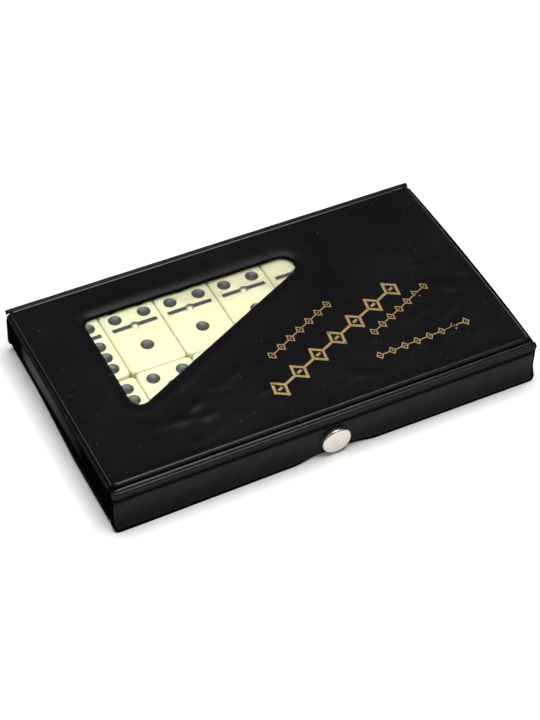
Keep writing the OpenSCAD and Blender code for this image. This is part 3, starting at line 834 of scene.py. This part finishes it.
def make_flap():
    """The flap's skin and liner, flattened round the snap."""
    hidden = (FLAP_HIGH[0], FLAP_HIGH[2] + BOARD_CORNER)
    outline = Rounded((FLAP_LOW[0], FLAP_LOW[2]), hidden, BOARD_CORNER)
    end, sole = FLAP_INSET
    panel = Rounded((FLAP_LOW[0] + end, FLAP_LOW[2] + sole),
                    (FLAP_HIGH[0] - end, FLAP_HIGH[2] + FLAP_TUCK), BOARD_CORNER)
    thick = FLAP_INSIDE - FLAP_LOW[1]
    at = ((CAP_LOW[0] + CAP_HIGH[0]) / 2, (CAP_LOW[2] + CAP_HIGH[2]) / 2)
    rings = [circle_loop(at, r, 40) for r in (SNAP_HOLE, 4.0, 5.0, SNAP_FLAT)]
    hole = {"at": at, "radius": SNAP_HOLE, "reach": SNAP_FLAT, "rings": rings}
    plain = padded_top(outline, panel, thick, 45.0, 0.16, FLAP_CREASES)

    def top(x, y):
        z = plain(x, y)
        over_board = panel.inside(x, y) > 1.6
        z = np.where(over_board, np.maximum(z, thick - FLAP_SKIN_MIN), z)
        near = np.clip(1 - (np.hypot(x - at[0], y - at[1]) - SNAP_FLAT) / 3, 0, 1)
        return z * (1 - near) + near * np.minimum(z, thick)

    matrix = Matrix.Translation((0, FLAP_INSIDE, 0)) @ Matrix.Rotation(math.pi / 2, 4, "X")

    def warp(points):
        """Below the snap the flap stands out from the case and hangs down to the table."""
        x, z = points[:, 0], points[:, 1].copy()
        inner = np.arange(len(points)) >= len(points) // 2
        low = np.clip((at[1] - z) / (at[1] - FLAP_LOW[2]), 0, 1) ** 1.4
        free = np.clip((abs(x - at[0]) - 6.5) / 12, 0, 1)
        free = free * free * (3 - 2 * free)
        kept = np.clip((2.6 - z) / 2.0, 0, 1)
        left = np.clip((-x - 20) / 60, 0, 1)
        points[:, 2] += low * (0.25 + (1.9 + 0.9 * left) * free) * np.where(inner, kept, 1)
        points[:, 1] -= 0.3 * low
        points[:, 0] += (0.8 + 0.5 * low) * np.clip((x - 80) / 12, 0, 1)

    # Painted shade: the flap's welded foot border and its ends get the dark, glossless vinyl.
    def welds_and_painted_shade(middles):
        border = middles[:, 2] < FLAP_LOW[2] + 1.0
        ends = abs(middles[:, 0]) > FLAP_HIGH[0] - 0.9
        return (border | ends).astype(int)

    piece = panel_cover("flap_cover", outline, panel, top, matrix, [hole],
                        warp=warp, further=(PAINTED_SHADE_VINYL,), where=welds_and_painted_shade)
    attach(piece, "flap")
    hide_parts("flap_outer_skin", "flap_liner")


# Outer side of the roll's section at its middle: a slanted band from the low weld strip, a fine
# crease, the full bead and the long tuck under it. Distance in front of the roll's back, and height
# above its foot.
ROLL_SIDE = (
    (0.00, 5.60), (0.00, 6.30), (0.08, 6.68), (0.30, 6.82), (0.65, 6.70), (1.00, 6.54), (1.26, 6.36),
    (1.38, 6.12), (1.40, 5.98), (1.52, 5.98), (1.74, 5.94), (1.98, 5.80), (2.20, 5.48), (2.34, 4.98),
    (2.34, 4.30), (2.22, 3.60), (2.04, 2.95), (1.86, 2.35), (1.72, 1.80), (1.64, 1.30),
)


def make_roll():
    """Padded roll: a full tube of vinyl with soft waves, pinched where it is welded at both ends."""
    back, foot = ROLL_HIGH[1] + 0.1, ROLL_LOW[2] + 0.35
    side = smooth_line(np.array(ROLL_SIDE), 2)
    half = ROLL_HIGH[0]
    middle = np.array(ROLL_MIDDLE)

    def section(x):
        pinch = np.clip((half - abs(x)) / 2.2, 0, 1) ** 0.5
        points = []
        for reach, height in side:
            level = (height - ROLL_FULL[0]) / ROLL_FULL[1]
            wave = 0.10 * noise.fractal((x / 14, level * 1.5, 4.0), 1.0, 2.0, 2)
            ripple = 0.02 * noise.fractal((x / 3.2, level * 4, 8.0), 1.0, 2.0, 2)
            full = math.sin(math.pi * min(max(level, 0), 1))
            grow = 1 + 0.7 * (wave + ripple) * full
            r = middle + (np.array((reach, height)) - middle) * grow * (0.55 + 0.45 * pinch)
            points.append((back - r[0], foot + r[1]))
        low, high = points[-1][1], points[0][1]
        points += [(back, low + (high - low) * t) for t in (0.0, 0.25, 0.5, 0.75, 1.0)]
        return points

    ends = np.array([0, 0.15, 0.35, 0.6, 0.9, 1.3, 1.8, 2.4, 3.0])
    middles = np.linspace(-half + 4, half - 4, 190)
    stations = np.concatenate([-half + ends, middles, half - ends[::-1]])
    # Faces below the bead's turn get the painted shade of the tuck.
    piece = sweep("flap_roll_cover", stations, section, ROLLED, (ROLL_FOOT,),
                  lambda m: (m[:, 2] < foot + BEAD_HEIGHT).astype(int))
    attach(piece, "flap")
    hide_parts("flap_roll")
    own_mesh(piece)


def make_front_strip():
    """Sunk weld between the lid and the roll, with a fine embossed line."""
    y0, y1 = STRIP_LOW[1] - STRIP_LAP, STRIP_HIGH[1] + STRIP_LAP
    z0, z1 = STRIP_LOW[2], STRIP_HIGH[2]
    across = 14

    def section(x):
        wave = 0.03 * noise.fractal((x / 9, 5.0, 1.0), 1.0, 2.0, 2)
        up, down = [], []
        for k in range(across + 1):
            t = k / across
            y = y0 + (y1 - y0) * t
            dip = 0.12 * math.sin(math.pi * t) + 0.08 * math.exp(-((t - 0.5) / 0.08) ** 2)
            up.append((y, z1 - dip + wave))
            down.append((y, z0 + 0.02))
        return up + down[::-1]

    half = STRIP_HIGH[0]
    # Painted shade: the weld strip gets the dark, glossless vinyl.
    piece = sweep("front_weld", np.linspace(-half, half, 120), section, PAINTED_SHADE_VINYL)
    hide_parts("front_weld_strip")
    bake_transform(piece)


def make_bend(name, node, low, high, upper):
    """Welded vinyl round a rear corner of the case, from one panel to the next."""
    radius = high[1] - low[1]
    thick = 2 * SKIN
    centre = (low[1], low[2] if upper else high[2])
    sign = 1 if upper else -1
    count = 12

    def section(x):
        wave = 0.06 * noise.fractal((x / 11, 3.0 * sign, 6.0), 1.0, 2.0, 2)
        end = float(rise(half - abs(x), 1.0, 2.2))
        outer, inner = [], []
        for k in range(count + 1):
            t = math.pi / 2 * k / count
            bulge = (wave + (0.75 if upper else 0.05)) * math.sin(2 * t)
            c, s = math.sin(t), math.cos(t) * sign
            ear = 0.5 * math.sin(2 * t) ** 3 if upper else 0.0
            full = (radius + bulge) * (end + (1 - end) * (0.38 + ear))
            outer.append((centre[0] + full * c, centre[1] + full * s))
            inner.append((centre[0] + (full - thick) * c, centre[1] + (full - thick) * s))
        ring = outer + inner[::-1]
        return ring if upper else ring[::-1]

    half = high[0] + (TOP_EAR if upper else -LOW_SHORT)
    ends = np.array([0, 0.15, 0.35, 0.6, 0.9, 1.3, 1.8, 2.3])
    middles = np.linspace(-half + 3.5, half - 3.5, 130)
    stations = np.concatenate([-half + ends, middles, half - ends[::-1]])
    piece = sweep(name, stations, section, OUTER)
    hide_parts(node)
    panel_end = (0, low[1] * MM, (high[2] if upper else low[2]) * MM)
    spine_end = (0, high[1] * MM, (low[2] if upper else high[2]) * MM)
    first, last = (spine_end, panel_end) if upper else (panel_end, spine_end)
    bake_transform(piece)
    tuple(first)
    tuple(last)


def make_film():
    """Clear film under the rim, slightly slack."""
    loops = [WINDOW.loop(g) for g in (FILM_UNDER_RIM, 3.0, 0.5)]
    verts, faces = triangulate(loops, 2.4, lambda x, y: -WINDOW.outside(x, y) - 0.5,
                               lambda x, y: WINDOW.outside(x, y) < FILM_UNDER_RIM)
    z0, z1 = FILM_LOW[2], FILM_HIGH[2]

    def sag(x, y):
        free = np.clip(-WINDOW.outside(x, y) / 8, 0, 1)
        return 0.10 * free * (hills(x, y, 22, 61.0) + 0.3)

    piece = envelope("window_sheet", verts, faces, lambda x, y: z1 + sag(x, y),
                     lambda x, y: z0 + sag(x, y), Matrix.Identity(4), FILM)
    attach(piece, "lid")
    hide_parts("window_film")


def make_rim():
    """Thin turned edge of the lid's skin round the film, under the soft slope."""
    loop = WINDOW.loop(0.0, 1.6, 16)
    along = np.roll(loop, -1, 0) - np.roll(loop, 1, 0)
    along /= np.hypot(*along.T)[:, None]
    outward = np.stack([along[:, 1], -along[:, 0]], -1)
    radius, sides = WINDOW_RIM, 10
    height = CASE_TOP - WINDOW_SINK - radius
    verts = []
    for p, o in zip(loop, outward):
        for k in range(sides):
            a = 2 * math.pi * k / sides
            verts.append((p[0] + o[0] * radius * math.cos(a), p[1] + o[1] * radius * math.cos(a),
                          height + radius * math.sin(a)))
    # Painted shade: the turned edge gets the dark, glossless vinyl.
    piece = mesh_object("window_edge", verts, ring_faces(len(loop), sides), PAINTED_SHADE_VINYL)
    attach(piece, "lid")


def make_tray_wrap():
    """Soft black wrap over the tray's walls, with round upper edges and slightly bowed ends."""
    outer = Rounded(TRAY_LOW[:2], TRAY_HIGH[:2], 0.4)
    walls = np.array(TRAY_WALLS)
    inner = Rounded(TRAY_LOW[:2] + walls, TRAY_HIGH[:2] - walls, 0.2)
    low, high = TRAY_LOW[2], TRAY_HIGH[2]
    edge = TRAY_EDGE
    counts = (60, 36)
    profile = [(0.0, low + (high - edge - low) * i / 8) for i in range(9)]
    profile += [(edge - edge * math.cos(a), high - edge + edge * math.sin(a))
                for a in (math.radians(d) for d in (25, 50, 75, 90))]
    rings = [(outer.loop(inset, 1, 3, counts), z, inset == 0.0) for inset, z in profile]
    rings += [(inner.loop(-inset, 1, 3, counts), z, False) for inset, z in profile[::-1]]
    verts = []
    for loop, z, bowed in rings:
        for x, y in loop:
            if bowed and abs(x) > TRAY_HIGH[0] - 0.01:
                level = (z - low) / (high - low)
                slack = 0.12 + 0.5 * (0.5 - y / (TRAY_HIGH[1] - TRAY_LOW[1]))
                wave = slack + 0.25 * noise.fractal((y / 17, level * 1.4, 2.0), 1.0, 2.0, 2)
                x += math.copysign(max(wave, 0.05) * math.sin(math.pi * min(level, 1) ** 1.5), x)
            verts.append((x, y, z))
    faces = ring_faces(len(rings), len(rings[0][0]))
    # The liner vinyl paints the end walls' reflection and shade.
    piece = mesh_object("tray_wrap_cover", verts, faces, LINER)
    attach(piece, "base")
    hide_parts("tray_wrap")


# Gold motif: rows of plain lozenges joined by short bars


# Each row's two ends, its count of lozenges and bars, the lozenges' height and the stroke
FOIL_ROWS = (
    ((-8.0, -15.2), (27.5, 2.2), 13, 4.0, 0.5),
    ((-14.5, -33.0), (56.5, -0.2), 13, 8.6, 1.15),
    ((34.8, -20.6), (68.0, -5.2), 13, 4.0, 0.5),
    ((30.5, -32.4), (73.5, -30.4), 15, 3.6, 0.5),
)
FOIL_LIFT = 0.03


def ribbon(points, width):
    """Flat stroke along a line, as quads."""
    points = np.array(points)
    out = []
    for a, b in zip(points[:-1], points[1:]):
        d = (b - a) / np.hypot(*(b - a))
        side = np.array((-d[1], d[0])) * width / 2
        parts = max(int(np.hypot(*(b - a)) / 1.5), 1)
        cap = d * width / 2
        for i in range(parts):
            p = a - cap + (b - a + 2 * cap) * i / parts
            q = a - cap + (b - a + 2 * cap) * (i + 1) / parts
            out.append((p - side, q - side, q + side, p + side))
    return out


def lozenge(centre, along, long, tall, stroke):
    """Outline of one lozenge."""
    side = np.array((-along[1], along[0]))
    ring = [centre + along * long / 2, centre + side * tall / 2,
            centre - along * long / 2, centre - side * tall / 2]
    return ribbon(ring + ring[:1], stroke)


def row(start, end, count, tall, stroke):
    """Lozenges, each with a short dash at its middle, joined by short bars."""
    start, end = np.array(start), np.array(end)
    along = (end - start) / np.hypot(*(end - start))
    pitch = np.hypot(*(end - start)) / count
    out = []
    for i in range(count):
        centre = start + along * pitch * (i + 0.5)
        if i % 2 == 0:
            out += lozenge(centre, along, pitch * 0.98, tall, stroke)
            out += ribbon([centre - along * stroke * 0.5, centre + along * stroke * 0.5], stroke)
        else:
            out += ribbon([centre - along * pitch * 0.34, centre + along * pitch * 0.34], stroke)
    return out


def make_foil():
    """The gold motif, laid over the lid's face."""
    quads = [quad for line in FOIL_ROWS for quad in row(*line)]
    verts, faces = [], []
    for quad in quads:
        faces.append(tuple(range(len(verts), len(verts) + 4)))
        verts += [tuple(p) for p in quad]
    flat = np.array(verts)
    heights = lid_top(flat[:, 0], flat[:, 1]) + FOIL_LIFT
    points = [(x, y, z) for (x, y), z in zip(verts, heights)]
    piece = mesh_object("foil_motif", points, faces, FOIL)
    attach(piece, "lid")


# Camera and light


FOCAL_PX = 2085.0
PHOTO_HEIGHT = 720
AZIMUTH, ELEVATION, ROLL = -29.05, 46.34, 2.94
SHIFT_X, SHIFT_Y, DISTANCE = 0.6, 1.3, 842.0

FLOOR_HALF = 3.0
WORLD_GLOW = 0.04
WARM = (1.0, 0.995, 0.98)
# Name, place and size in metres, watts and colour
LAMPS = (
    ("overhead", (0.03, 0.10, 1.15), (1.0, 0.75), 17.3, WARM),
    ("strip", (0.20, -0.24, 1.05), (0.8, 0.08), 2.2, WARM),
    ("left_fill", (-1.0, -0.3, 0.7), (0.7, 0.7), 1.6, (0.97, 0.98, 1.0)),
    ("front_fill", (0.5, -1.1, 0.7), (0.8, 0.6), 1.6, (1.0, 1.0, 1.0)),
)


def make_camera():
    """Camera fitted to the photograph, from its focal length in pixels and its angles."""
    az, el, roll = (math.radians(v) for v in (AZIMUTH, ELEVATION, ROLL))
    back = Vector((math.sin(az) * math.cos(el), -math.cos(az) * math.cos(el), math.sin(el)))
    level = Vector((math.cos(az), math.sin(az), 0))
    rise_dir = back.cross(level)
    right = math.cos(roll) * level + math.sin(roll) * rise_dir
    up = -math.sin(roll) * level + math.cos(roll) * rise_dir
    eye = (right * SHIFT_X + up * SHIFT_Y + back * DISTANCE) * MM
    data = bpy.data.cameras.new("camera")
    data.sensor_width = 36.0
    data.lens = FOCAL_PX / PHOTO_HEIGHT * data.sensor_width
    data.clip_start, data.clip_end = 0.01, 20
    camera = bpy.data.objects.new("camera", data)
    camera.matrix_world = Matrix((
        (right.x, up.x, back.x, eye.x),
        (right.y, up.y, back.y, eye.y),
        (right.z, up.z, back.z, eye.z),
        (0, 0, 0, 1),
    ))
    scene = bpy.context.scene
    scene.collection.objects.link(camera)
    scene.camera = camera


def area_light(name, at, size, power, colour):
    """Rectangular lamp that looks at the case."""
    data = bpy.data.lights.new(name, "AREA")
    data.shape = "RECTANGLE"
    data.size, data.size_y = size
    data.energy = power
    data.color = colour
    lamp = bpy.data.objects.new(name, data)
    lamp.location = at
    lamp.rotation_mode = "QUATERNION"
    lamp.rotation_quaternion = Vector(at).to_track_quat("Z", "Y")
    bpy.context.scene.collection.objects.link(lamp)


def make_studio():
    """Dim world, pale floor and soft lamps."""
    world = bpy.data.worlds.new("studio")
    world.use_nodes = True
    shade = world.node_tree.nodes["Background"]
    shade.inputs["Color"].default_value = (1, 1, 1, 1)
    shade.inputs["Strength"].default_value = WORLD_GLOW
    bpy.context.scene.world = world
    bpy.context.scene.view_settings.view_transform = "Standard"
    corners = [(x * FLOOR_HALF, y * FLOOR_HALF, 0) for x, y in ((-1, -1), (1, -1), (1, 1), (-1, 1))]
    mesh = bpy.data.meshes.new("floor")
    mesh.from_pydata(corners, [], [(0, 1, 2, 3)])
    mesh.materials.append(floor_paper())
    floor = bpy.data.objects.new("floor", mesh)
    bpy.context.scene.collection.objects.link(floor)
    for lamp in LAMPS:
        area_light(*lamp)


make_camera()
make_studio()
finish_cad_nodes()
make_lid()
make_base()
make_spine()
make_flap()
make_roll()
make_front_strip()
make_bend("rear_top_fold", "rear_top_bend", TOP_BEND_LOW, TOP_BEND_HIGH, True)
make_bend("rear_bottom_fold", "rear_bottom_bend", LOW_BEND_LOW, LOW_BEND_HIGH, False)
make_film()
make_rim()
make_tray_wrap()
make_foil()
